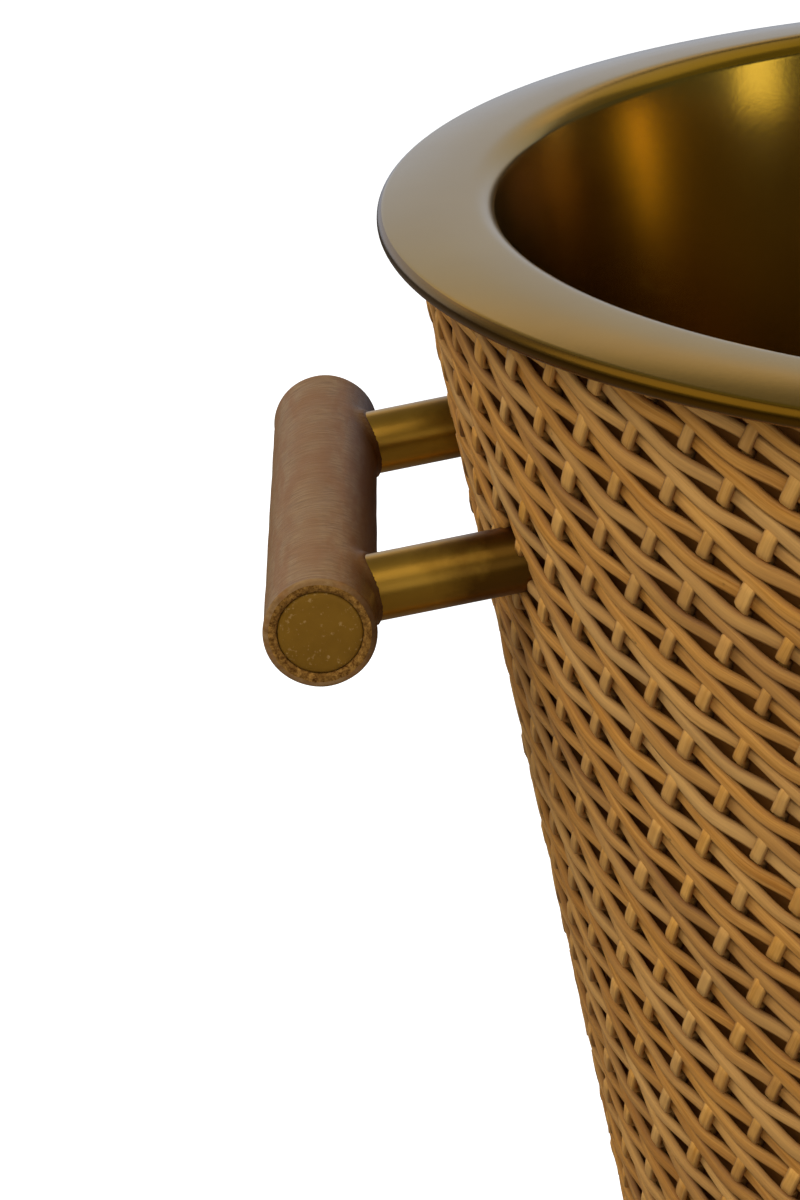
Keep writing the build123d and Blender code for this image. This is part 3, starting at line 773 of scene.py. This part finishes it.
def make_sleeve():
    """The leather grip sewn round the column between its two rings, with the seam at the back."""
    low, high, radius, turns, rows = 0.3722, 0.4878, 17.7 * MM, 220, 110
    turn = np.arange(turns) / turns * 2 * np.pi
    z = np.concatenate([[low, low], np.linspace(low, high, rows), [high, high]])
    inset = np.concatenate([[-1.6, -0.5], np.zeros(rows), [-0.5, -1.6]]) * MM
    zz, tt = np.meshgrid(z, turn, indexing="ij")
    rr = radius + inset[:, None] + 0.06 * MM * wobble(zz / (11 * MM) + 1.5 * np.cos(tt), 71)
    # distance round from the seam, then its groove, and a row of stitches on each side of it
    seam = np.abs(np.angle(np.exp(1j * (tt - np.pi / 2)))) * radius
    rr = rr - 0.55 * MM * np.exp(-((seam / (0.45 * MM)) ** 2))
    stitch = np.exp(-(((seam - 1.9 * MM) / (0.4 * MM)) ** 2)) * (np.sin(zz / (0.9 * MM)) > -0.3)
    rr = rr + 0.35 * MM * stitch
    points = np.stack([rr * np.cos(tt), rr * np.sin(tt), zz], -1)
    mesh = quad_mesh("column_sleeve", points.reshape(-1, 3), grid_quads(len(z), turns, True))
    # the grain's first value stays positive, so the bars' shade towards the wall doesn't show here
    grain = np.stack([radius / MM * (1 + np.cos(tt)), zz / MM, radius / MM * np.sin(tt) + 150], -1)
    point_vectors(mesh, "grain", grain.reshape(-1, 3))
    ob = new_object("column_sleeve", mesh, [LEATHER])
    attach(ob, "stand")
    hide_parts("column_wrap")


# ------------------------------------------------------------------ CAD nodes that stay
def dress(material, *names):
    """Give CAD nodes a material, and leave their meshes as they are."""
    for name in names:
        mesh = frame["nodes"][name].data
        mesh.materials.clear()
        mesh.materials.append(material)


# ------------------------------------------------------------------ studio
def camera():
    """Above and in front, a long lens on the left half of the bucket's top."""
    pitch, turn, roll = math.radians(20.36), math.radians(0.17), math.radians(-1.42)
    forward = Vector((-math.sin(turn) * math.cos(pitch), math.cos(turn) * math.cos(pitch), -math.sin(pitch)))
    right = Vector((math.cos(turn), math.sin(turn), 0))
    up = right.cross(forward)
    level, upright = right.copy(), up.copy()
    right = level * math.cos(roll) + upright * math.sin(roll)
    up = upright * math.cos(roll) - level * math.sin(roll)
    data = bpy.data.cameras.new("camera")
    data.sensor_width = 36
    data.lens = 150
    data.clip_start, data.clip_end = 0.05, 60
    ob = bpy.data.objects.new("camera", data)
    bpy.context.scene.collection.objects.link(ob)
    place = Vector((-0.1254, -0.7829, RIM_Z + 0.2206))
    ob.matrix_world = Matrix((
        (right.x, up.x, -forward.x, place.x),
        (right.y, up.y, -forward.y, place.y),
        (right.z, up.z, -forward.z, place.z),
        (0, 0, 0, 1),
    ))
    bpy.context.scene.camera = ob


def softbox(name, azimuth, elevation, spread, radiance, colour=(1, 1, 1), glossy=True, diffuse=True):
    """An even panel facing the rim. Azimuth runs from +Y towards +X; spread is its angles across and up."""
    distance = 2.6
    az, el = math.radians(azimuth), math.radians(elevation)
    way = Vector((math.sin(az) * math.cos(el), math.cos(az) * math.cos(el), math.sin(el)))
    data = bpy.data.lights.new(name, "AREA")
    data.shape = "RECTANGLE"
    data.size, data.size_y = (2 * distance * math.tan(math.radians(angle / 2)) for angle in spread)
    data.energy = radiance * math.pi * data.size * data.size_y
    data.color = colour
    ob = bpy.data.objects.new(name, data)
    bpy.context.scene.collection.objects.link(ob)
    ob.location = Vector((0, 0, RIM_Z)) + way * distance
    ob.rotation_mode = "QUATERNION"
    ob.rotation_quaternion = (-way).to_track_quat("-Z", "Y")
    ob.visible_camera = False
    ob.visible_glossy, ob.visible_diffuse = glossy, diffuse


def floor():
    mesh = bpy.data.meshes.new("floor")
    reach = 14
    corners = [(-reach, -reach, 0), (reach, -reach, 0), (reach, reach, 0), (-reach, reach, 0)]
    mesh.from_pydata(corners, [], [(0, 1, 2, 3)])
    n = Nodes("pale_floor")
    grain = n.noise(n.object_coords(), 3, 2)
    n.colour(n.mix(grain, (0.80, 0.80, 0.80), (0.83, 0.83, 0.83)))
    n.set(Roughness=0.85, Specular_IOR_Level=0.1)
    ob = new_object("floor", mesh, [n.material])
    # pale to the eye without flooding the object with bounced light
    eye = n.add("ShaderNodeLightPath")
    dull = n.add("ShaderNodeBsdfDiffuse")
    n.link(n.mix(eye.outputs["Is Glossy Ray"], (0.42, 0.40, 0.37), (0.20, 0.18, 0.15)), dull.inputs["Color"])
    glow = n.add("ShaderNodeEmission")
    glow.inputs["Strength"].default_value = 0.92
    both = n.add("ShaderNodeAddShader")
    pick = n.add("ShaderNodeMixShader")
    n.link(n.shader.outputs[0], both.inputs[0])
    n.link(glow.outputs[0], both.inputs[1])
    n.link(eye.outputs["Is Camera Ray"], pick.inputs[0])
    n.link(dull.outputs[0], pick.inputs[1])
    n.link(both.outputs[0], pick.inputs[2])
    n.link(pick.outputs[0], n.tree.nodes["Material Output"].inputs["Surface"])


def world():
    """White to the camera, and a dim cool light to everything else."""
    made = bpy.data.worlds.new("studio")
    bpy.context.scene.world = made
    made.use_nodes = True
    tree = made.node_tree
    back = tree.nodes["Background"]
    back.inputs["Color"].default_value = (1, 1, 1, 1)
    back.inputs["Strength"].default_value = 1.0
    dim = tree.nodes.new("ShaderNodeBackground")
    dim.inputs["Color"].default_value = (0.9, 0.95, 1.0, 1)
    dim.inputs["Strength"].default_value = 0.17
    eye = tree.nodes.new("ShaderNodeLightPath")
    pick = tree.nodes.new("ShaderNodeMixShader")
    tree.links.new(eye.outputs["Is Camera Ray"], pick.inputs[0])
    tree.links.new(dim.outputs[0], pick.inputs[1])
    tree.links.new(back.outputs[0], pick.inputs[2])
    tree.links.new(pick.outputs[0], tree.nodes["World Output"].inputs["Surface"])


def studio():
    floor()
    world()
    camera()
    bpy.context.scene.view_settings.view_transform = "Standard"
    # the white sweep behind shows in the brass at grazing angles, and a second panel gives its soft light
    softbox("sweep_gloss", -4, 10, (104, 38), 0.60, (0.67, 0.81, 1.06), diffuse=False)
    softbox("sweep_soft", -4, 16, (96, 42), 0.6, glossy=False)
    softbox("back_high", -2, 33, (90, 8), 0.70, (1.0, 0.90, 0.70))
    softbox("back_right", 55, 46, (40, 30), 0.42, diffuse=False)
    softbox("key", 166, 54, (38, 32), 1.75, (1.0, 0.97, 0.93))
    softbox("top_soft", -112, 50, (42, 36), 2.45, (1.0, 0.96, 0.90), glossy=False)
    softbox("front", 178, 8, (80, 26), 0.27)
    softbox("front_fill", 192, 20, (60, 40), 0.78, glossy=False)
    softbox("left", -100, 35, (50, 46), 0.6)
    softbox("strip_near", 155, 11, (9, 20), 8.0, diffuse=False)
    softbox("strip_side", 108, 6, (9, 20), 2.8, diffuse=False)


# ------------------------------------------------------------------ assembly
make_vessel()
make_cane()
for word, side in (("left", -1), ("right", 1)):
    make_grip(side, word)
    make_end_discs(side, word)
    dress(BRASS_POST, f"handle_posts_{word}")
    dress(STEEL, f"handle_core_{word}", f"handle_studs_{word}", f"handle_washers_{word}", f"handle_nuts_{word}")
dress(SHEET, "outer_shell")
dress(BRASS, "base_cover", "lower_collar", "column_tube", "wrap_rings", "upper_collar", "seat_dish", "base_band",
      "base_plate")
make_sleeve()
dress(STEEL, "tie_rod", "tie_nuts", "tie_washers", "seat_plate", "seat_screws", "base_standoffs", "base_screws")
dress(FELT, "floor_pad", "seat_pad", "foot_ring")
dress(IRON, "base_weight")
studio()
